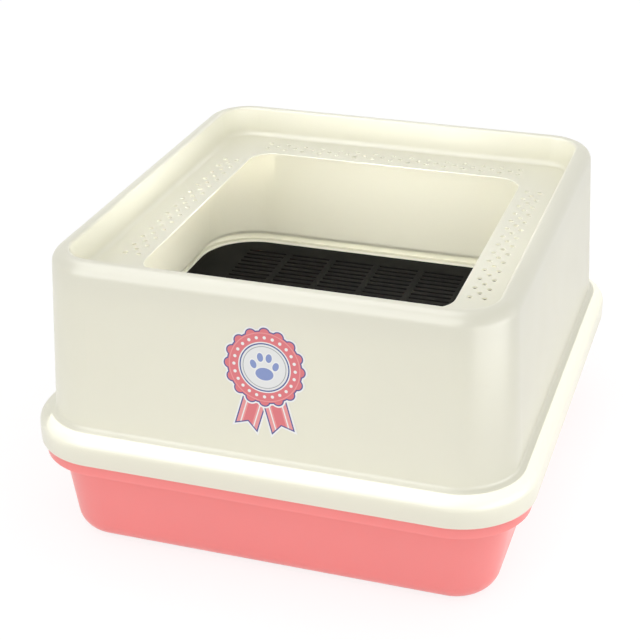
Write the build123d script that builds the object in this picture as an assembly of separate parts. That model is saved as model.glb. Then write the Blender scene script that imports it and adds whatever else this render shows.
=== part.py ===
from build123d import *
import os
from math import atan2, cos, pi, sin

# A top entry litter box: a hood with a sunken, vented top and a large entry opening stands on
# a slotted floor, which lies on the rim of a deep tray.  Two thin printed labels are stuck on.
#
# Millimetres, +Z up.  The front faces -Y and +X is to its right.  The origin is the middle of
# the footprint, on the surface that the tray stands on.  Everything is shown closed, at rest.

# ---------------------------------------------------------------- driving dimensions

# Hood, outside.
hood_width = 475.0
hood_depth = 514.0
hood_height = 190.0
hood_corner_radius = 72.0       # in plan, at the skirt
hood_wall = 2.5
skirt_height = 22.5             # upright face, up to where the shoulder begins
skirt_edge_radius = 10.0
shoulder_run = 16.0             # how far the skirt stands out from the foot of the wall
shoulder_rise = 8.0
shoulder_crease_radius = 4.0
wall_lean = 9.0                 # how far the wall leans in on its way up
rim_width = 16.0
rim_outer_radius = 13.0
rim_inner_radius = 3.0

# Hood, sunken top with its entry opening and vent holes.
ledge_drop = 31.0               # rim to ledge
ledge_foot_run = 3.0            # the rim's inner face leans out by this much
ledge_foot_radius = 6.0
side_ledge_width = 46.0         # flat ledge between the rim's foot and the entry opening
end_ledge_width = 50.5
ledge_thickness = 1.8           # a little thinner than the walls around it
entry_corner_radius = 25.0
vent_diameter = 5.0
vent_pitch = 20.0               # along a row
vent_row_spacing = 6.7
vent_rows = 3
side_vent_inset = 11.0          # entry edge to the first row
end_vent_inset = 14.0
side_vent_count = 14
end_vent_count = 15

# Hood, inner lip that it stands on.
lip_height = 12.0               # underside, above the bottom of the skirt
lip_reach = 9.0                 # inner edge, in from the outside of the skirt

# Slotted floor.
floor_thickness = 3.0
floor_side_clearance = 1.5      # to the inside of the skirt
slot_width = 4.0
slot_length = 46.0
slot_column_pitch = 53.0
slot_row_pitch = 10.0
slot_field_margin = 9.0         # locating wall to the first slot
floor_rib_width = 3.0
floor_rib_depth = 7.0
locating_wall_depth = 6.0
locating_wall_thickness = 2.5
locating_clearance = 1.5        # to the inside of the tray

# Tray.
tray_height = 111.0
tray_wall = 2.5
tray_side_clearance = 2.0       # rim to the inside of the skirt
rim_flap_height = 22.0
rim_flap_flare = 2.0            # the flap stands out by this much at its lower edge
tray_rim_width = 10.0
tray_rim_outer_radius = 5.0
tray_rim_inner_radius = 2.0
tray_step_drop = 4.5            # lower ledge all round, just inside the rim
tray_step_width = 5.5
tray_step_foot_radius = 1.0
tray_step_edge_radius = 1.5
tray_wall_lean = 14.0
tray_bottom_radius = 22.0

# Printed labels.
label_thickness = 0.3
badge_radius = 39.0
badge_scallops = 16
badge_scallop_depth = 3.0
badge_height = 105.0
badge_tail_width = 25.0
badge_tail_spread = 16.0        # degrees each way
badge_tail_notch = 8.0
badge_centre_height = 105.0     # middle of the badge, above the bottom of the hood
badge_offset = 4.0              # to the right of the middle
floor_label_width = 205.0
floor_label_depth = 115.0
floor_label_radius = 12.0
floor_label_offset = -4.0

# ---------------------------------------------------------------- derived places

floor_z = tray_height
hood_z = floor_z + floor_thickness - lip_height
wall_foot_height = skirt_height + shoulder_rise
ledge_height = hood_height - ledge_drop
rim_start = shoulder_run + wall_lean
ledge_foot = rim_start + rim_width + ledge_foot_run
ledge_plate_inset = ledge_foot + ledge_foot_radius + hood_wall
entry_width = hood_width - 2 * (ledge_foot + side_ledge_width)
entry_depth = hood_depth - 2 * (ledge_foot + end_ledge_width)
entry_edge_radius = 0.4 * ledge_thickness
tray_inset = hood_wall + tray_side_clearance
tray_width = hood_width - 2 * tray_inset
tray_depth = hood_depth - 2 * tray_inset
tray_corner_radius = hood_corner_radius - tray_inset
tray_step_height = tray_height - tray_step_drop
tray_wall_start = tray_rim_width + tray_step_width - tray_wall
tray_floor_inset = tray_wall_start + tray_wall_lean + tray_bottom_radius


# ---------------------------------------------------------------- shared helpers

def rounded_plate(width, depth, radius, thickness, bottom):
    """A flat plate with rounded corners, standing on the height `bottom`."""
    return Pos(0, 0, bottom) * extrude(RectangleRounded(width, depth, radius), thickness)


def inset_plate(inset, thickness, bottom, width, depth, radius):
    """A plate whose outline runs `inset` inside a rounded rectangle."""
    return rounded_plate(width - 2 * inset, depth - 2 * inset, radius - inset, thickness, bottom)


def carried_round(section, width, depth, radius):
    """A section, drawn as distance inwards and height, carried round a rounded rectangle."""
    half_x = width / 2 - radius
    half_y = depth / 2 - radius
    at_front = Plane(origin=(-half_x, -depth / 2, 0), x_dir=(0, 1, 0), z_dir=(1, 0, 0))
    at_front_end = Plane(origin=(half_x, -depth / 2, 0), x_dir=(0, 1, 0), z_dir=(1, 0, 0))
    at_right = Plane(origin=(width / 2, -half_y, 0), x_dir=(-1, 0, 0), z_dir=(0, 1, 0))
    at_right_end = Plane(origin=(width / 2, half_y, 0), x_dir=(-1, 0, 0), z_dir=(0, 1, 0))
    front = extrude(at_front * section, 2 * half_x)
    right = extrude(at_right * section, 2 * half_y)
    front_corner = revolve(at_front_end * section, Axis((half_x, -half_y, 0), (0, 0, 1)), 90)
    back_corner = revolve(at_right_end * section, Axis((half_x, half_y, 0), (0, 0, 1)), 90)
    half = [front, front_corner, right, back_corner]
    other_half = [Rot(0, 0, 180) * piece for piece in half]
    return half[0] + half[1:] + other_half


# ---------------------------------------------------------------- hood

def hood_section():
    """The wall of the hood as one bent sheet: skirt, shoulder, wall, rim and start of the ledge."""
    outside = FilletPolyline(
        (0, 0),
        (0, skirt_height),
        (shoulder_run, wall_foot_height),
        (rim_start, hood_height),
        (rim_start + rim_width, hood_height),
        (ledge_foot, ledge_height),
        (ledge_plate_inset, ledge_height),
        radius=[skirt_edge_radius, shoulder_crease_radius, rim_outer_radius, rim_inner_radius,
                ledge_foot_radius],
    )
    return make_face(offset(outside, amount=hood_wall, side=Side.RIGHT))


def vent_places():
    """Staggered rows of small holes along all four sides of the entry opening."""
    places = []
    for row in range(vent_rows):
        skipped = row % 2
        x = entry_width / 2 + side_vent_inset + row * vent_row_spacing
        y = entry_depth / 2 + end_vent_inset + row * vent_row_spacing
        for along in GridLocations(1, vent_pitch, 1, side_vent_count - skipped):
            places += [Pos(x, along.position.Y), Pos(-x, along.position.Y)]
        for along in GridLocations(vent_pitch, 1, end_vent_count - skipped, 1):
            places += [Pos(along.position.X, y), Pos(along.position.X, -y)]
    return places


def hood_ledge():
    """The sunken ledge with its vents, and the rounded edge of the entry opening."""
    inset = ledge_plate_inset
    outline = RectangleRounded(
        hood_width - 2 * inset, hood_depth - 2 * inset, hood_corner_radius - inset)
    entry = RectangleRounded(entry_width, entry_depth, entry_corner_radius)
    vents = [place * Circle(vent_diameter / 2) for place in vent_places()]
    plate = extrude(outline - entry - vents, ledge_thickness)
    flat_faces = plate.faces().filter_by(Axis.Z)
    entry_wires = [max(face.inner_wires(), key=lambda wire: wire.length) for face in flat_faces]
    entry_edges = [edge for wire in entry_wires for edge in wire.edges()]
    return Pos(0, 0, ledge_height - ledge_thickness) * fillet(entry_edges, entry_edge_radius)


def hood():
    """The whole hood, one moulding."""
    shell = carried_round(hood_section(), hood_width, hood_depth, hood_corner_radius)
    lip_width = lip_reach - hood_wall / 2
    lip_section = Pos(hood_wall / 2, lip_height) * Rectangle(
        lip_width, hood_wall, align=(Align.MIN, Align.MIN))
    lip = carried_round(lip_section, hood_width, hood_depth, hood_corner_radius)
    return Pos(0, 0, hood_z) * (shell + hood_ledge() + lip)


# ---------------------------------------------------------------- tray

def tray_wall_inset(height):
    """Distance from the rim's outside to the outside of the leaning wall at a height."""
    leaning_height = tray_step_height - tray_wall
    return tray_wall_start + tray_wall_lean * (1 - height / leaning_height)


def tray_section():
    """Rim with its turned-down flap, the ledge inside it, the leaning wall and the bottom curve."""
    top = tray_height
    step = tray_step_height
    wall_top = step - tray_wall
    bottom_end = tray_floor_inset + tray_wall
    corners = [
        (0, top - rim_flap_height, 0),
        (rim_flap_flare, top, tray_rim_outer_radius),
        (tray_rim_width, top, tray_rim_inner_radius),
        (tray_rim_width, step, tray_step_foot_radius),
        (tray_rim_width + tray_step_width, step, tray_step_edge_radius),
        (tray_wall_inset(tray_wall) + tray_wall, tray_wall, tray_bottom_radius - tray_wall),
        (bottom_end, tray_wall, 0),
        (bottom_end, 0, 0),
        (tray_wall_inset(0), 0, tray_bottom_radius),
        (tray_wall_start, wall_top, 0),
        (tray_rim_width - tray_wall, wall_top, 0),
        (tray_rim_width - tray_wall, top - tray_wall, 0),
        (rim_flap_flare + tray_wall, top - tray_wall, tray_rim_outer_radius - tray_wall),
        (tray_wall, top - rim_flap_height, 0),
    ]
    outline = FilletPolyline(
        *[(x, z) for x, z, _ in corners], radius=[r for _, _, r in corners], close=True)
    return make_face(outline)


def tray():
    """The tray, one moulding."""
    walls = carried_round(tray_section(), tray_width, tray_depth, tray_corner_radius)
    bottom = inset_plate(tray_floor_inset, tray_wall, 0, tray_width, tray_depth,
                         tray_corner_radius)
    return walls + bottom


# ---------------------------------------------------------------- slotted floor

def slotted_floor():
    """A flat floor with rows of slots, stiffened below, that drops inside the tray's rim."""
    inset = hood_wall + floor_side_clearance
    plate_outline = RectangleRounded(
        hood_width - 2 * inset, hood_depth - 2 * inset, hood_corner_radius - inset)

    wall_inset = (tray_inset + tray_wall_inset(tray_height - locating_wall_depth) + tray_wall
                  + locating_clearance)
    outer_radius = hood_corner_radius - wall_inset
    inside_width = hood_width - 2 * wall_inset - 2 * locating_wall_thickness
    inside_depth = hood_depth - 2 * wall_inset - 2 * locating_wall_thickness
    inside_outline = RectangleRounded(
        inside_width, inside_depth, outer_radius - locating_wall_thickness)
    wall_outline = RectangleRounded(
        hood_width - 2 * wall_inset, hood_depth - 2 * wall_inset, outer_radius) - inside_outline

    field_width = inside_width - 2 * slot_field_margin
    field_depth = inside_depth - 2 * slot_field_margin
    columns = int((field_width - slot_length) // slot_column_pitch) + 1
    rows = int((field_depth - slot_width) // slot_row_pitch) + 1
    slots = [place * Rectangle(slot_length, slot_width)
             for place in GridLocations(slot_column_pitch, slot_row_pitch, columns, rows)]
    plate = extrude(plate_outline - slots, floor_thickness)

    locating_wall = Pos(0, 0, -locating_wall_depth) * extrude(wall_outline, locating_wall_depth)
    ribs = [place * Box(floor_rib_width, inside_depth + locating_wall_thickness, floor_rib_depth,
                        align=(Align.CENTER, Align.CENTER, Align.MAX))
            for place in GridLocations(slot_column_pitch, 1, columns - 1, 1)]
    return Pos(0, 0, floor_z) * (plate + locating_wall + ribs)


# ---------------------------------------------------------------- printed labels

def front_wall_plane(height):
    """The outside of the front wall at a height above the hood's bottom, facing outwards."""
    rise = hood_height - wall_foot_height
    lean = atan2(wall_lean, rise)
    inward = shoulder_run + wall_lean * (height - wall_foot_height) / rise
    return Plane(
        origin=(badge_offset, -hood_depth / 2 + inward, hood_z + height),
        x_dir=(1, 0, 0),
        z_dir=(0, -cos(lean), sin(lean)),
    )


def badge_outline():
    """A rosette with a scalloped edge and two notched ribbon tails."""
    disc_y = badge_height / 2 - badge_radius
    ring = badge_radius - badge_scallop_depth
    disc = Pos(0, disc_y) * Circle(ring)
    lobe_radius = ring * sin(pi / badge_scallops)
    lobe_ring = badge_radius - lobe_radius
    lobes = [Pos(0, disc_y) * Rot(0, 0, 360 / badge_scallops * k) * Pos(lobe_ring, 0)
             * Circle(lobe_radius) for k in range(badge_scallops)]
    tail_length = disc_y + badge_height / 2
    tail = Polyline(
        (-badge_tail_width / 2, 0), (-badge_tail_width / 2, -tail_length),
        (0, -tail_length + badge_tail_notch), (badge_tail_width / 2, -tail_length),
        (badge_tail_width / 2, 0), close=True)
    tails = [Pos(0, disc_y) * Rot(0, 0, turn) * make_face(tail)
             for turn in (-badge_tail_spread, badge_tail_spread)]
    return disc + lobes + tails


def front_badge():
    """The die-cut badge on the front of the hood."""
    return extrude(front_wall_plane(badge_centre_height) * badge_outline(), label_thickness)


def floor_label():
    """The printed label stuck on the floor of the tray."""
    return Pos(floor_label_offset, 0, 0) * rounded_plate(
        floor_label_width, floor_label_depth, floor_label_radius, label_thickness, tray_wall)


# ---------------------------------------------------------------- output

parts = {
    "tray": tray(),
    "slotted_floor": slotted_floor(),
    "hood": hood(),
    "front_badge": front_badge(),
    "floor_label": floor_label(),
}

os.makedirs("parts", exist_ok=True)
for name, shape in parts.items():
    export_step(shape, f"parts/{name}.step")
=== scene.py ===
# %% [markdown]
# # A top entry litter box
#
# The object is three plastic mouldings that stack by gravity, and two printed films. A deep coral
# tray stands on the floor. A black slotted floor lies on the tray's rim; its near-black colour is
# painted shade for the dark seen through the hood's open bottom. A cream hood with a sunken,
# vented top and a large entry opening stands on that floor. A badge is stuck on the hood's front,
# and a label on the tray's floor.
#
# The shapes come from the imported model. This lesson gives them their finish, and sets up the
# light and the camera. All lengths are in metres, +Z is up and the front faces -Y.

# %% Load the imported model
import math

import bpy
from mathutils import Matrix, Vector


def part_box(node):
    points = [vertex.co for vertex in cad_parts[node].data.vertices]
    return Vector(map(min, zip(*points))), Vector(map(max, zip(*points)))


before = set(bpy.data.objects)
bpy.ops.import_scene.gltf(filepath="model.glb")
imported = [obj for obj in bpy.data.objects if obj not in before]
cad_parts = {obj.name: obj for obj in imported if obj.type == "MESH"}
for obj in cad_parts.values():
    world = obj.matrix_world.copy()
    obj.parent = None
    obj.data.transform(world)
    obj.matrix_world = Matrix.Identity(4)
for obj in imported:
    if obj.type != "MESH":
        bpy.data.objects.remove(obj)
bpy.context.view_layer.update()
print("nodes:", sorted(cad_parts))

# %% [markdown]
# ## Camera
# A product is usually shown from the front, a little to the right and well above the rim, so that
# the buyer looks into the entry opening. A long lens from far away keeps the sides nearly
# parallel. The turn of the camera is written as azimuth, elevation and roll, because those three
# numbers are easy to imagine.

# %% Camera
CAMERA_PLACE = Vector((0.4107, -1.3205, 0.8416))
CAMERA_AZIMUTH = math.radians(18.18)
CAMERA_ELEVATION = math.radians(26.46)
CAMERA_ROLL = math.radians(-0.47)
SENSOR_WIDTH = 36    # in millimetres, as the focal length is
FOCAL_LENGTH = 85.9


def camera_turn(azimuth, elevation, roll):
    """The rotation of a camera that looks down at the object from the given direction."""
    back = Vector((
        math.sin(azimuth) * math.cos(elevation),
        -math.cos(azimuth) * math.cos(elevation),
        math.sin(elevation),
    ))
    right = Vector((math.cos(azimuth), math.sin(azimuth), 0))
    up = back.cross(right)
    upright = Matrix((right, up, back)).transposed()
    return upright @ Matrix.Rotation(roll, 3, "Z")


camera = bpy.data.objects.new("camera", bpy.data.cameras.new("camera"))
camera.data.sensor_width = SENSOR_WIDTH
camera.data.lens = FOCAL_LENGTH
camera.matrix_world = (
    Matrix.Translation(CAMERA_PLACE)
    @ camera_turn(CAMERA_AZIMUTH, CAMERA_ELEVATION, CAMERA_ROLL).to_4x4()
)
bpy.context.scene.collection.objects.link(camera)
bpy.context.scene.camera = camera
bpy.context.scene.view_settings.view_transform = "Standard"
print("camera at", tuple(round(c, 3) for c in camera.location))

# %% [markdown]
# ## Small helpers for materials
# A procedural material is a chain of small sums. Written out node by node it is hard to read, so
# these helpers make one node per call and take either a plain value or another node's output.


# %% Nodes and their inputs
def is_output(value):
    """Whether a value is another node's output, and not a plain number or colour."""
    return isinstance(value, bpy.types.NodeSocket)


def plug(tree, sockets, values):
    """Links each named or numbered input to another node's output, or sets it to a plain value."""
    for name, value in values.items():
        if is_output(value):
            tree.links.new(value, sockets[name])
        elif sockets[name].type == "RGBA":
            sockets[name].default_value = (*value, 1)
        else:
            sockets[name].default_value = value


def add(tree, kind, inputs=None, **settings):
    """One node, with its settings and inputs."""
    made = tree.nodes.new(kind)
    for name, value in settings.items():
        setattr(made, name, value)
    plug(tree, made.inputs, inputs or {})
    return made


def new_material(name):
    """A material, its node tree and its main shader."""
    material = bpy.data.materials.new(name)
    material.use_nodes = True
    tree = material.node_tree
    return material, tree, tree.nodes["Principled BSDF"]


print("helpers for nodes and materials ready")


# %% One node per call
def maths(tree, operation, *values):
    """One Math node's result."""
    return add(tree, "ShaderNodeMath", dict(enumerate(values)), operation=operation).outputs[0]


def blend(tree, share, first, second):
    """A colour between `first` and `second`."""
    colours = {0: share, 6: first, 7: second}
    return add(tree, "ShaderNodeMix", colours, data_type="RGBA").outputs[2]


def ramp(tree, value, low, high, new_low=0.0, new_high=1.0):
    """A value that runs smoothly from `new_low` to `new_high` between `low` and `high`."""
    values = dict(enumerate((value, low, high, new_low, new_high)))
    return add(tree, "ShaderNodeMapRange", values, interpolation_type="SMOOTHSTEP").outputs[0]


def noise(tree, place, size, detail):
    """Soft random blotches of about `size` metres, between 0 and 1."""
    scale = maths(tree, "DIVIDE", 1.0, size) if is_output(size) else 1 / size
    return add(tree, "ShaderNodeTexNoise", {
        "Vector": place, "Scale": scale, "Detail": detail}).outputs["Fac"]


def bumped(tree, height):
    """The surface's direction, bent by a height in metres."""
    return add(tree, "ShaderNodeBump", {"Height": height, "Distance": 1.0}).outputs[0]


print("helpers for sums, colours and noise ready")

# %% Node groups
COLOUR = "NodeSocketColor"
VALUE = "NodeSocketFloat"


def new_group(name, inputs, outputs):
    """An empty node group, what it is given, and the sockets that its result goes into."""
    tree = bpy.data.node_groups.new(name, "ShaderNodeTree")
    for socket, (kind, value) in inputs.items():
        made = tree.interface.new_socket(socket, in_out="INPUT", socket_type=kind)
        if value is not None:
            made.default_value = value
    for socket, kind in outputs.items():
        tree.interface.new_socket(socket, in_out="OUTPUT", socket_type=kind)
    given = tree.nodes.new("NodeGroupInput").outputs
    return tree, given, tree.nodes.new("NodeGroupOutput").inputs


def use_group(tree, group, values):
    """The outputs of a node group that is placed in a material with its own values."""
    return add(tree, "ShaderNodeGroup", values, node_tree=group).outputs


print("helpers for node groups ready")

# %% [markdown]
# ## Moulded plastic
# Injection moulded plastic looks smooth, but its surface is never perfect. The steel mould leaves
# a very fine grain, large walls sink a little between their edges and bend the reflections, the
# pigment is mixed unevenly, and use leaves hair-thin scuffs that catch the light. All three
# mouldings share this, so it is one node group. Its own values suit the two glossy plastics, and
# each material sets what differs.
#
# The group works in the object's own coordinates, so the pattern stays put when a piece is lifted.

# %% Node group: moulded plastic
moulded, given, result = new_group(
    "moulded_plastic",
    {
        "Colour": (COLOUR, None),
        "Scuff Colour": (COLOUR, None),
        "Tone Variation": (VALUE, 0.03),
        "Grain Size": (VALUE, 0.0009),
        "Grain Depth": (VALUE, 0.000001),
        "Sink Depth": (VALUE, 0.00004),
        "Scuff Amount": (VALUE, 0.06),
        "Smoothest": (VALUE, 0.29),
        "Roughest": (VALUE, 0.38),
    },
    {"Colour": COLOUR, "Roughness": VALUE, "Height": VALUE},
)
place = add(moulded, "ShaderNodeTexCoord").outputs["Object"]
print("moulded plastic takes:", [socket.name for socket in given if socket.name])

# %% Uneven pigment
TONE_SIZE = 0.16

tone = maths(moulded, "SUBTRACT", noise(moulded, place, TONE_SIZE, 1.0), 0.5)
lighter = maths(moulded, "MULTIPLY_ADD", tone, given["Tone Variation"], 1.0)
toned = add(moulded, "ShaderNodeVectorMath", {0: given["Colour"], "Scale": lighter},
            operation="SCALE").outputs[0]
print("pigment clouds of", TONE_SIZE, "m")

# %% Mould grain and sink marks
SINK_SIZE = 0.11

grain = noise(moulded, place, given["Grain Size"], 1.0)
sink = noise(moulded, place, SINK_SIZE, 0.0)
grain_height = maths(moulded, "MULTIPLY", grain, given["Grain Depth"])
height = maths(moulded, "MULTIPLY_ADD", sink, given["Sink Depth"], grain_height)
print("sink marks of", SINK_SIZE, "m")

# %% Scuffs and duller patches
CLOUD_SIZE = 0.045
SCUFFED_CLOUDS = (0.45, 0.75)    # scuffs gather where the clouds reach these values
DULL_CLOUDS = (0.2, 0.8)
DULLEST = 0.7
HAIR_SIZE = 0.0005
HAIR_STRETCH = (0.07, 1.0, 1.0)
HAIR_TURN = (0.4, 0.7, 0.5)
HAIR_EDGE = (0.66, 0.80)

clouds = noise(moulded, place, CLOUD_SIZE, 2.0)
turned = add(moulded, "ShaderNodeMapping", {
    "Vector": place, "Rotation": HAIR_TURN, "Scale": HAIR_STRETCH}).outputs[0]
hairs = ramp(moulded, noise(moulded, turned, HAIR_SIZE, 1.0), *HAIR_EDGE)
scuffs = maths(moulded, "MULTIPLY", hairs, ramp(moulded, clouds, *SCUFFED_CLOUDS))
scuffs = maths(moulded, "MULTIPLY", scuffs, given["Scuff Amount"])
dull = ramp(moulded, clouds, *DULL_CLOUDS, 0.0, DULLEST)
spread = maths(moulded, "SUBTRACT", given["Roughest"], given["Smoothest"])
plug(moulded, result, {
    "Colour": blend(moulded, scuffs, toned, given["Scuff Colour"]),
    "Roughness": maths(moulded, "MULTIPLY_ADD", maths(moulded, "ADD", scuffs, dull), spread,
                       given["Smoothest"]),
    "Height": height,
})
print("moulded plastic:", len(moulded.nodes), "nodes")

# %% [markdown]
# ## The three plastics
# The hood is a glossy cream polypropylene, the tray the same plastic in coral pink, and the
# slotted floor a matte near-black one, whose colour is painted shade for the dark inside the hood.
# A little light spreads inside the two glossy ones, which softens their shadows. The black one has
# a coarser grain, hardly any sheen and more scuffs, because paws walk on it.

# %% Plastic materials
EVEN_SPREAD = (1.0, 1.0, 1.0)    # red, green and blue light spread equally far


def plastic(name, colour, scuff_colour, specular=0.5, glow=0.0, glow_depth=0.005, **amounts):
    """A moulded plastic, with the shared group's values set by `amounts`."""
    material, tree, shader = new_material(name)
    surface = use_group(tree, moulded, {
        "Colour": colour, "Scuff Colour": scuff_colour,
        **{key.replace("_", " ").title(): value for key, value in amounts.items()},
    })
    plug(tree, shader.inputs, {
        "Base Color": surface["Colour"],
        "Roughness": surface["Roughness"],
        "Normal": bumped(tree, surface["Height"]),
        "Specular IOR Level": specular,
        "Subsurface Weight": glow,
        "Subsurface Radius": EVEN_SPREAD,
        "Subsurface Scale": glow_depth,
    })
    return material


cream = plastic(
    "cream_plastic", (0.79, 0.775, 0.65), (0.86, 0.85, 0.77), glow=0.2, glow_depth=0.005,
)
coral = plastic(
    "coral_plastic", (0.97, 0.275, 0.265), (0.98, 0.42, 0.40), glow=0.3, glow_depth=0.004,
    tone_variation=0.04, scuff_amount=0.08,
)
# Painted shade: the slotted floor's near-black colour and faint sheen stand in for the dark seen
# through the hood's open bottom.
black = plastic(
    "painted_shade_black", (0.006, 0.006, 0.006), (0.025, 0.025, 0.025), specular=0.08,
    tone_variation=0.2, grain_size=0.0011, grain_depth=0.00003, sink_depth=0.00002,
    scuff_amount=0.35, smoothest=0.5, roughest=0.65,
)
print("plastics:", cream.name, coral.name, black.name)

# %% [markdown]
# ## Stage
# The object stands on a plain white floor that runs far behind it. The rays that show the
# background, which are the camera's own and those that go on from a gloss or a clear part, see
# floor and surroundings brightened to white. The rays that carry light don't, so the soft shadow
# under the tray stays and no extra light reaches the object.

# %% Floor
FLOOR_HALF = 9.0

floor_mesh = bpy.data.meshes.new("studio_floor")
floor_mesh.from_pydata(
    [(x * FLOOR_HALF, y * FLOOR_HALF, 0) for x, y in ((-1, -1), (1, -1), (1, 1), (-1, 1))],
    [], [(0, 1, 2, 3)])
studio_floor = bpy.data.objects.new("studio_floor", floor_mesh)
bpy.context.scene.collection.objects.link(studio_floor)
print("floor:", 2 * FLOOR_HALF, "m square")


# %% Floor paint
def white_background_share(tree):
    """1 for the rays that show the background itself, and 0 for the rays that carry its light."""
    path = add(tree, "ShaderNodeLightPath").outputs
    seen = maths(tree, "MAXIMUM", path["Is Camera Ray"], path["Is Glossy Ray"])
    return maths(tree, "MAXIMUM", seen, path["Is Transmission Ray"])


WHITE = (1, 1, 1)
FLOOR_WHITE = (0.9, 0.9, 0.9)
SHADOW_STRENGTH = (0.25, 0.25, 0.25)    # the share of the seen floor that shadows can darken
FLOOR_GLOW = 0.8

floor_paint, tree, shader = new_material("studio_floor")
tree.nodes.remove(shader)
plain = add(tree, "ShaderNodeBsdfDiffuse", {"Color": FLOOR_WHITE}).outputs[0]
shaded = add(tree, "ShaderNodeBsdfDiffuse", {"Color": SHADOW_STRENGTH}).outputs[0]
glow = add(tree, "ShaderNodeEmission", {"Color": WHITE, "Strength": FLOOR_GLOW}).outputs[0]
bright = add(tree, "ShaderNodeAddShader", {0: shaded, 1: glow}).outputs[0]
shown = add(tree, "ShaderNodeMixShader",
            {0: white_background_share(tree), 1: plain, 2: bright}).outputs[0]
plug(tree, tree.nodes["Material Output"].inputs, {"Surface": shown})
floor_mesh.materials.append(floor_paint)
print("floor paint:", len(tree.nodes), "nodes")

# %% Surroundings
SURROUNDING_LIGHT = 0.85

world = bpy.data.worlds.new("studio")
bpy.context.scene.world = world
world.use_nodes = True
tree = world.node_tree
strength = maths(tree, "MULTIPLY_ADD", white_background_share(tree), 1 - SURROUNDING_LIGHT,
                 SURROUNDING_LIGHT)
plug(tree, tree.nodes["Background"].inputs, {"Color": WHITE, "Strength": strength})
print("surroundings shine at", SURROUNDING_LIGHT)

# %% [markdown]
# ## Lights
# The white surroundings give nearly all of the soft light. Lamps then do two separate jobs, so
# each one is switched off for the other job, as a flag in a studio would keep its light away.
#
# - Soft boxes that only show as reflections give the glossy plastic its shape: a broad line along
#   the front edges, an upright band on the rounded corner, and thin lines along the rims and at
#   the foot of the sunken ledge and of the tray's left wall.
# - Fill lamps that never show as reflections lift the shadows inside the hood and the tray. Low
#   strips close to the hood's inner walls light those walls in every position of the hood, without
#   shining out through the entry opening onto the rim.


# %% Kinds of lamps
def add_lamp(name, kind, place, power, shines_on):
    """A lamp that isn't seen itself, and that shines on "walls" or shows in "reflections"."""
    holder = bpy.data.objects.new(name, bpy.data.lights.new(name, kind))
    holder.location = place
    holder.data.energy = power
    holder.visible_camera = False
    holder.visible_diffuse = shines_on == "walls"
    holder.visible_glossy = shines_on == "reflections"
    bpy.context.scene.collection.objects.link(holder)
    return holder


def add_soft_box(name, place, target, size, power, shines_on):
    """A rectangular lamp at `place` that faces `target`."""
    holder = add_lamp(name, "AREA", place, power, shines_on)
    holder.data.shape = "RECTANGLE"
    holder.data.size, holder.data.size_y = size
    facing = Vector(target) - Vector(place)
    holder.rotation_euler = facing.to_track_quat("-Z", "Y").to_euler()
    return holder


print("lamp helpers ready")

# %% Main light and reflections
MIDDLE = (0, 0, 0.15)

add_soft_box("key", (-0.5, -1.8, 0.9), MIDDLE, (1.0, 1.0), 1.6, "walls")

# Each row is a name, a place, a target, a width and height, and a power in watts.
REFLECTED = (
    # Lines along the front edges, sheen on the top and the right wall, a band on the corner.
    ("front_top", (-0.5, -1.35, 1.05), MIDDLE, (1.6, 1.7), 32.0),
    ("overhead", (-0.34, -0.07, 1.3), MIDDLE, (1.0, 0.9), 12.0),
    ("low_right", (0.8, -0.02, 0.36), (0, -0.02, 0.36), (1.0, 0.7), 2.0),
    ("corner", (0.53, -0.33, 0.19), (-0.42, -0.02, 0.19), (0.58, 0.24), 1.6),
    # Thin lines at the back left, at the ledge's foot, on the tray's rim and at its wall's foot.
    ("back_left", (-0.16, 0.68, 0.57), (0.19, 0, 0.3), (0.3, 0.12), 0.25),
    ("ledge_foot", (-0.067, 0.255, 0.424), (-0.967, 0.255, 0.724), (0.4, 0.05), 0.15),
    ("tray_rim", (0.197, 0.03, 0.130), (0.997, 0.03, -0.47), (0.36, 0.02), 0.18),
    ("tray_foot", (-0.163, 0.03, 0.068), (-1.163, 0.03, -0.232), (0.32, 0.03), 0.18),
)
for row in REFLECTED:
    add_soft_box(*row, "reflections")
print("reflected soft boxes:", len(REFLECTED))

# %% Fill light in the shadows
FILLS = (
    # The rim's inner face at the back, and the sunken ledge.
    ("recess_fill", (0, -0.12, 0.40), (0, 0.88, 0.30), (0.35, 0.06), 0.09),
    ("top_fill", (0.06, 0, 0.75), (0.06, 0, 0.3), (0.5, 0.5), 0.12),
    # The hood's inner walls.
    ("hood_back_fill", (0, 0.17, 0.228), (0, 1.17, 0.328), (0.40, 0.05), 0.040),
    ("hood_left_fill", (-0.15, 0.02, 0.228), (-1.15, 0.02, 0.328), (0.42, 0.05), 0.058),
    ("hood_right_fill", (0.15, 0, 0.228), (1.15, 0, 0.328), (0.40, 0.05), 0.055),
    # The inside of the tray.
    ("tray_fill", (0.03, 0, 0.13), (0.03, 0, 0), (0.49, 0.53), 0.5),
    ("tray_left_fill", (-0.10, -0.06, 0.06), (-0.30, -0.06, 0.0), (0.3, 0.04), 0.06),
    # The lower part of the tray, outside, at the front and the right.
    ("front_fill", (0, -0.50, 0.15), (0, -0.25, 0.08), (0.8, 0.06), 0.15),
    ("right_fill", (0.34, -0.05, 0.02), (0.20, -0.05, 0.03), (0.4, 0.03), 0.09),
)
WARM_WHITE = (1.0, 0.95, 0.8)
HOOD_GLOBE_RADIUS = 0.05

fills = {row[0]: add_soft_box(*row, "walls") for row in FILLS}
fills["hood_left_fill"].data.color = WARM_WHITE
hood_globe = add_lamp("hood_fill", "POINT", (0.0, -0.03, 0.212), 1.3, "walls")
hood_globe.data.shadow_soft_size = HOOD_GLOBE_RADIUS

# %% [markdown]
# ## Drawing with distances
# The badge and the label are printed films. Their prints are drawn with distances alone: how far a
# point is from a circle, or from a ribbon's edge, says which ink it gets. The edge lines then stay
# sharp at any size. A distance is below zero inside a shape, so the larger of two distances is
# where two shapes overlap, and the smaller is both together. The measures are in millimetres.

# %% Distances
INK_SOFTNESS = 0.12


def inside(tree, distance):
    """1 where a distance is below zero, with a hair-thin soft edge."""
    return ramp(tree, distance, -INK_SOFTNESS, INK_SOFTNESS, 1.0, 0.0)


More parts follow.
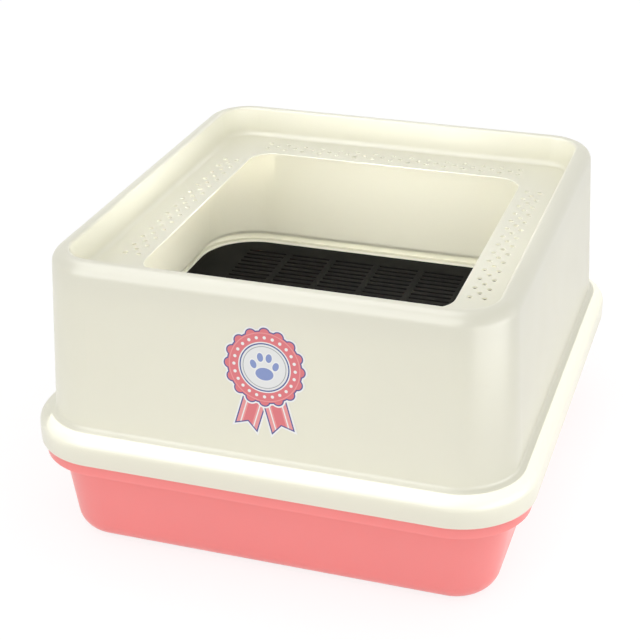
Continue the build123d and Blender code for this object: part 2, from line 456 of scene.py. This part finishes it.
def length(tree, across, up):
    """Distance from zero."""
    squares = (maths(tree, "MULTIPLY", part, part) for part in (across, up))
    return maths(tree, "SQRT", maths(tree, "ADD", *squares))


def stripe(tree, distance, middle, half_width):
    """Distance to the edge of a line that follows a shape at the distance `middle`."""
    off_middle = maths(tree, "ABSOLUTE", maths(tree, "SUBTRACT", distance, middle))
    return maths(tree, "SUBTRACT", off_middle, half_width)


def turned_plane(tree, across, up, middle, turn):
    """A point's two measures from `middle`, along axes that are turned by `turn`."""
    x = maths(tree, "SUBTRACT", across, middle[0])
    y = maths(tree, "SUBTRACT", up, middle[1])
    along = maths(tree, "ADD", maths(tree, "MULTIPLY", x, math.cos(turn)),
                  maths(tree, "MULTIPLY", y, math.sin(turn)))
    beside = maths(tree, "SUBTRACT", maths(tree, "MULTIPLY", y, math.cos(turn)),
                   maths(tree, "MULTIPLY", x, math.sin(turn)))
    return along, beside


def around(tree, across, up, count, radius):
    """Turns the plane so that `count` equal sectors share one, and moves out by `radius`."""
    sector = 2 * math.pi / count
    angle = maths(tree, "ADD", maths(tree, "ARCTAN2", up, across), sector / 2)
    folded = maths(tree, "SUBTRACT", maths(tree, "FLOORED_MODULO", angle, sector), sector / 2)
    reach = length(tree, across, up)
    out = maths(tree, "MULTIPLY", reach, maths(tree, "COSINE", folded))
    aside = maths(tree, "MULTIPLY", reach, maths(tree, "SINE", folded))
    return maths(tree, "SUBTRACT", out, radius), aside


print("ink edges are", 2 * INK_SOFTNESS, "mm soft")

# %% A paw mark
# The places and sizes are shares of the mark's own size. A toe also has a turn.
PAD = ((0, -0.38), (0.50, 0.36))
TOE_SIZE = (0.17, 0.25)
TOES = ((-0.62, 0.12, 0.35), (-0.24, 0.55, 0.12), (0.24, 0.55, -0.12), (0.62, 0.12, -0.35))


def ellipse(tree, across, up, middle, size, turn=0.0):
    """Rough distance to an ellipse's edge."""
    along, beside = turned_plane(tree, across, up, middle, turn)
    reach = length(
        tree, maths(tree, "DIVIDE", along, size[0]), maths(tree, "DIVIDE", beside, size[1]))
    return maths(tree, "MULTIPLY", maths(tree, "SUBTRACT", reach, 1.0), min(size))


def paw(tree, across, up, size):
    """Distance to a paw mark: one broad pad and four toes."""
    def sized(pair):
        return tuple(share * size for share in pair)

    shape = ellipse(tree, across, up, *map(sized, PAD))
    for x, y, turn in TOES:
        toe = ellipse(tree, across, up, sized((x, y)), sized(TOE_SIZE), turn)
        shape = maths(tree, "MINIMUM", shape, toe)
    return shape


print("toes:", len(TOES))


# %% Prints
def new_print(name):
    """An empty print: a place on the film goes in, and its colour and amount of ink come out."""
    return new_group(
        name, {"Across": (VALUE, 0.0), "Up": (VALUE, 0.0)}, {"Colour": COLOUR, "Ink": VALUE})


def painted(tree, ink, layers):
    """The ink after each layer, a distance and a colour, is laid over what is there."""
    for distance, colour in layers:
        ink = blend(tree, inside(tree, distance), ink, colour)
    return ink


def finish_print(tree, result, ink, bare_tones):
    """Puts out a print. What is lighter than the two `bare_tones` counts as film without ink."""
    tone = add(tree, "ShaderNodeRGBToBW", {"Color": ink}).outputs[0]
    plug(tree, result, {"Colour": ink, "Ink": ramp(tree, tone, *bare_tones, 1.0, 0.0)})
    print(tree.name, "has", len(tree.nodes), "nodes")


print("helpers for prints ready")

# %% [markdown]
# ## The badge on the hood
# The badge is a die-cut film with a rosette printed on it: a white edge, a blue outline, a coral
# ring with a row of light beads, and a paw on a pale middle, with two ribbon tails behind. The
# measures are seen flat on the leaning wall, with the rosette's middle as zero. The scallops and
# the tails follow the film's own cut edge.

# %% The rosette's inks and edge
WHITE_INK = (0.86, 0.86, 0.84)
BLUE_INK = (0.030, 0.060, 0.26)
SKY_INK = (0.22, 0.29, 0.56)
RED_INK = (0.72, 0.17, 0.19)
ROSE_INK = (0.80, 0.30, 0.30)
PALE_INK = (0.78, 0.79, 0.78)
GREY_INK = (0.36, 0.37, 0.38)
WHITE_EDGE = 1.5
OUTLINE = 1.1

rosette, given, result = new_print("rosette_print")
across, up = given["Across"], given["Up"]
ink = WHITE_INK


def edged(shape, fill):
    """Layers for a shape with a white edge and a blue outline round its fill."""
    return (
        (shape, WHITE_INK),
        (maths(rosette, "ADD", shape, WHITE_EDGE), BLUE_INK),
        (maths(rosette, "ADD", shape, WHITE_EDGE + OUTLINE), fill),
    )


print("edge and outline:", WHITE_EDGE + OUTLINE, "mm")

# %% Two ribbon tails
TAIL_SPREAD = math.radians(16)
TAIL_HALF_WIDTH = 12.5
TAIL_LENGTH = 66.0
TAIL_NOTCH = 8.0
NOTCH_COSINE = 0.84    # turns a depth along the tail into a distance from the notch's edge
TAIL_MIDDLE_HALF = 4.2
TAIL_LINE = (6.2, 0.55)    # off the middle, half width

for side in (-1, 1):
    aside, rise = turned_plane(rosette, across, up, (0, 0), side * TAIL_SPREAD)
    aside = maths(rosette, "ABSOLUTE", aside)
    down = maths(rosette, "MULTIPLY", rise, -1.0)
    end = maths(rosette, "MULTIPLY_ADD", aside, TAIL_NOTCH / TAIL_HALF_WIDTH,
                TAIL_LENGTH - TAIL_NOTCH)
    past_end = maths(rosette, "MULTIPLY", maths(rosette, "SUBTRACT", down, end), NOTCH_COSINE)
    inner_end = maths(rosette, "ADD", past_end, WHITE_EDGE + OUTLINE)
    past_side = maths(rosette, "SUBTRACT", aside, TAIL_HALF_WIDTH)
    tail = maths(rosette, "MAXIMUM", maths(rosette, "MAXIMUM", past_side, past_end), rise)
    middle = maths(rosette, "SUBTRACT", aside, TAIL_MIDDLE_HALF)
    line = stripe(rosette, aside, *TAIL_LINE)
    ink = painted(rosette, ink, (
        *edged(tail, ROSE_INK),
        (maths(rosette, "MAXIMUM", middle, inner_end), RED_INK),
        (maths(rosette, "MAXIMUM", line, inner_end), WHITE_INK),
    ))
print("tails:", 2 * TAIL_HALF_WIDTH, "mm wide")

# %% The rosette
ROSETTE_RADIUS = 39.0
SCALLOP_DEPTH = 3.0
SCALLOPS = 16
BEADS = 24
BEAD_RING = 28.0
BEAD_RADIUS = 1.5
ROSE_LINE = (32.2, 0.45)    # radius, half width
GREY_LINE = (19.6, 0.35)
DISCS = ((24.0, WHITE_INK), (22.9, BLUE_INK), (21.7, PALE_INK))
PAW_SIZE = 16.5
PAW_EDGE = 0.8

ring = ROSETTE_RADIUS - SCALLOP_DEPTH
lobe_radius = ring * math.sin(math.pi / SCALLOPS)
lobe = length(rosette, *around(rosette, across, up, SCALLOPS, ROSETTE_RADIUS - lobe_radius))
reach = length(rosette, across, up)
disc = maths(rosette, "MINIMUM", maths(rosette, "SUBTRACT", lobe, lobe_radius),
             maths(rosette, "SUBTRACT", reach, ring))
bead = length(rosette, *around(rosette, across, up, BEADS, BEAD_RING))
mark = paw(rosette, across, up, PAW_SIZE)
ink = painted(rosette, ink, (
    *edged(disc, RED_INK),
    (stripe(rosette, reach, *ROSE_LINE), ROSE_INK),
    (maths(rosette, "SUBTRACT", bead, BEAD_RADIUS), WHITE_INK),
    *((maths(rosette, "SUBTRACT", reach, radius), colour) for radius, colour in DISCS),
    (stripe(rosette, reach, *GREY_LINE), GREY_INK),
    (maths(rosette, "SUBTRACT", mark, PAW_EDGE), WHITE_INK),
    (mark, SKY_INK),
))
finish_print(rosette, result, ink, bare_tones=(0.7, 0.8))

# %% [markdown]
# ## Printed film
# Both prints lie on a plastic film, under a thin clear layer that makes them glossier than the
# walls they are stuck on. The ink is a hair thicker than the bare film, and the film isn't quite
# flat. One function makes both materials. It gets the print's group and the two directions that
# run across and up the film.

# %% Film material
MILLIMETRES = 1000.0    # to a metre
WAVE_SIZE = 0.012
WAVE_HEIGHT = 0.00004
INK_HEIGHT = 0.00001
DULLER = 0.08
CLEAR_LAYER = 0.4
CLEAR_ROUGHNESS = 0.12


def printed_film(name, artwork, origin, across, up, roughness):
    """A film whose print is drawn in millimetres from `origin` along `across` and `up`."""
    material, tree, shader = new_material(name)
    place = add(tree, "ShaderNodeTexCoord").outputs["Object"]
    drawn = {}
    for socket, direction in (("Across", across), ("Up", up)):
        along = add(tree, "ShaderNodeVectorMath", {0: place, 1: Vector(direction)},
                    operation="DOT_PRODUCT").outputs["Value"]
        start = Vector(direction).dot(Vector(origin))
        drawn[socket] = maths(
            tree, "MULTIPLY", maths(tree, "SUBTRACT", along, start), MILLIMETRES)
    art = use_group(tree, artwork, drawn)
    waves = noise(tree, place, WAVE_SIZE, 2.0)
    height = maths(tree, "MULTIPLY_ADD", art["Ink"], INK_HEIGHT,
                   maths(tree, "MULTIPLY", waves, WAVE_HEIGHT))
    plug(tree, shader.inputs, {
        "Base Color": art["Colour"],
        "Roughness": maths(tree, "MULTIPLY_ADD", waves, DULLER, roughness),
        "Normal": bumped(tree, height),
        "Coat Weight": CLEAR_LAYER,
        "Coat Roughness": CLEAR_ROUGHNESS,
    })
    return material


low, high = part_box("front_badge")
wall_up = Vector((0, high.y - low.y, high.z - low.z)).normalized()
rosette_middle = (Vector(((low.x + high.x) / 2, high.y, high.z))
                  - wall_up * ROSETTE_RADIUS / MILLIMETRES)
badge_film = printed_film("badge_film", rosette, rosette_middle, (1, 0, 0), wall_up, 0.3)
print("badge middle:", tuple(round(c, 4) for c in rosette_middle))

# %% [markdown]
# ## The label in the tray
# The label has a white border and two picture panels side by side. The left panel is a pale lilac
# grey with a paw trail, and the right one shows soft bands of beige, brown and grey. Both are
# plain patterns without words. The measures start at the label's middle.

# %% Border and panels
LABEL_BORDER = 4.0
LABEL_CORNER = 12.0
PANEL_SPLIT = -26.0
HALF_GAP = 1.5

low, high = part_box("floor_label")
label_middle = (low + high) / 2
half_width = (high.x - low.x) / 2 * MILLIMETRES
half_depth = (high.y - low.y) / 2 * MILLIMETRES
label, given, result = new_print("label_print")
across, up = given["Across"], given["Up"]


def rounded_box(tree, across, up, half, corner):
    """Distance to the edge of a rounded rectangle."""
    x = maths(tree, "SUBTRACT", maths(tree, "ABSOLUTE", across), half[0] - corner)
    y = maths(tree, "SUBTRACT", maths(tree, "ABSOLUTE", up), half[1] - corner)
    outer = length(tree, maths(tree, "MAXIMUM", x, 0.0), maths(tree, "MAXIMUM", y, 0.0))
    inner = maths(tree, "MINIMUM", maths(tree, "MAXIMUM", x, y), 0.0)
    return maths(tree, "SUBTRACT", maths(tree, "ADD", outer, inner), corner)


cut_edge = rounded_box(label, across, up, (half_width, half_depth), LABEL_CORNER)
border = maths(label, "ADD", cut_edge, LABEL_BORDER)
beyond_split = maths(label, "SUBTRACT", across, PANEL_SPLIT)
left = maths(label, "MAXIMUM", border, maths(label, "ADD", beyond_split, HALF_GAP))
right = maths(label, "MAXIMUM", border, maths(label, "SUBTRACT", HALF_GAP, beyond_split))
print("label:", round(2 * half_width, 1), "x", round(2 * half_depth, 1), "mm")

# %% Left panel with a paw trail
LILAC = (0.68, 0.65, 0.68)
PALE_LILAC = (0.78, 0.75, 0.79)
SAND = (0.50, 0.41, 0.29)
TRAIL_SIZE = 8.0
TRAIL = ((-84, -34, 0.3), (-66, -14, -0.2), (-80, 8, 0.3), (-58, 26, -0.1))    # x, y, turn

fade = ramp(label, up, -half_depth, half_depth)
ink = painted(label, WHITE_INK, [(left, blend(label, fade, LILAC, PALE_LILAC))])
for x, y, turn in TRAIL:
    step = paw(label, *turned_plane(label, across, up, (x, y), turn), TRAIL_SIZE)
    ink = painted(label, ink, [(step, SAND)])
print("paw marks:", len(TRAIL))

# %% Right panel with soft bands
BEIGE = (0.30, 0.21, 0.12)
BROWN = (0.15, 0.095, 0.05)
STONE = (0.40, 0.37, 0.32)
BANDS = (
    # Level, swing, length of a wave, shift and colour, from the top down.
    (24, 6, 62, 0.4, STONE),
    (2, 5, 80, 1.9, BEIGE),
    (-18, 4, 48, 3.1, SAND),
    (-34, 3, 70, 0.0, BROWN),
    (-46, 2.5, 55, 2.2, BEIGE),
)

bands = SAND
for level, swing, wave, shift, colour in BANDS:
    angle = maths(label, "MULTIPLY_ADD", across, 2 * math.pi / wave, shift)
    crest = maths(label, "MULTIPLY_ADD", maths(label, "SINE", angle), swing, level)
    bands = painted(label, bands, [(maths(label, "SUBTRACT", up, crest), colour)])
ink = painted(label, ink, [(right, bands)])
finish_print(label, result, ink, bare_tones=(0.76, 0.84))
label_film = printed_film("label_film", label, label_middle, (1, 0, 0), (0, 1, 0), 0.34)

# %% [markdown]
# ## Give each piece its finish
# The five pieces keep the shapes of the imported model. Each finish goes into its piece's material
# slot.

# %% Assign the materials
FINISHES = {
    "hood": cream,
    "tray": coral,
    # The slotted floor gets the near-black painted shade.
    "slotted_floor": black,
    "front_badge": badge_film,
    "floor_label": label_film,
}
for node, material in FINISHES.items():
    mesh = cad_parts[node].data
    mesh.materials.clear()
    mesh.materials.append(material)
    print(node, "->", material.name, len(mesh.polygons), "faces")
